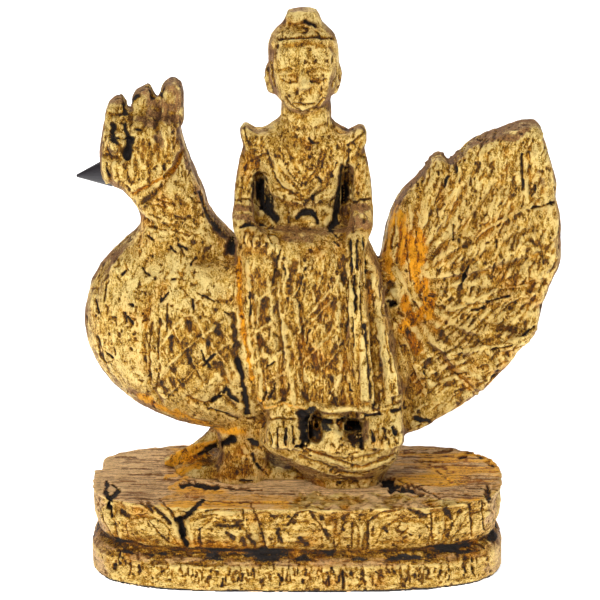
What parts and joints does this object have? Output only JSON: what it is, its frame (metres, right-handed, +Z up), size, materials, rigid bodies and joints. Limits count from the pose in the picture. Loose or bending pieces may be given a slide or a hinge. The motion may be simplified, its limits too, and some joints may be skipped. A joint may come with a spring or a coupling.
{
  "type": "saraswati statue",
  "caption": "Carved and gilded wooden figure of a seated rider, side-saddle on a crested bird with a raised fan tail, standing on an oblong lotus base.",
  "frame": {"origin": "middle of the base's flat underside", "axes": "+Z up; the rider faces -Y; the bird's head points to -X and its tail to +X"},
  "size_m": [0.2105, 0.0784, 0.2548],
  "materials": {
    "gilded_wood": "worn gold leaf over dark lacquer",
    "gilded_base_wood": "worn gold leaf over dark lacquer, with bare brown wood on top",
    "black_beak": "satin black lacquer"
  },
  "bodies": {
    "root": {"rider_and_bird": "gilded_wood", "lotus_base": "gilded_base_wood", "beak": "black_beak"}
  },
  "joints": []
}
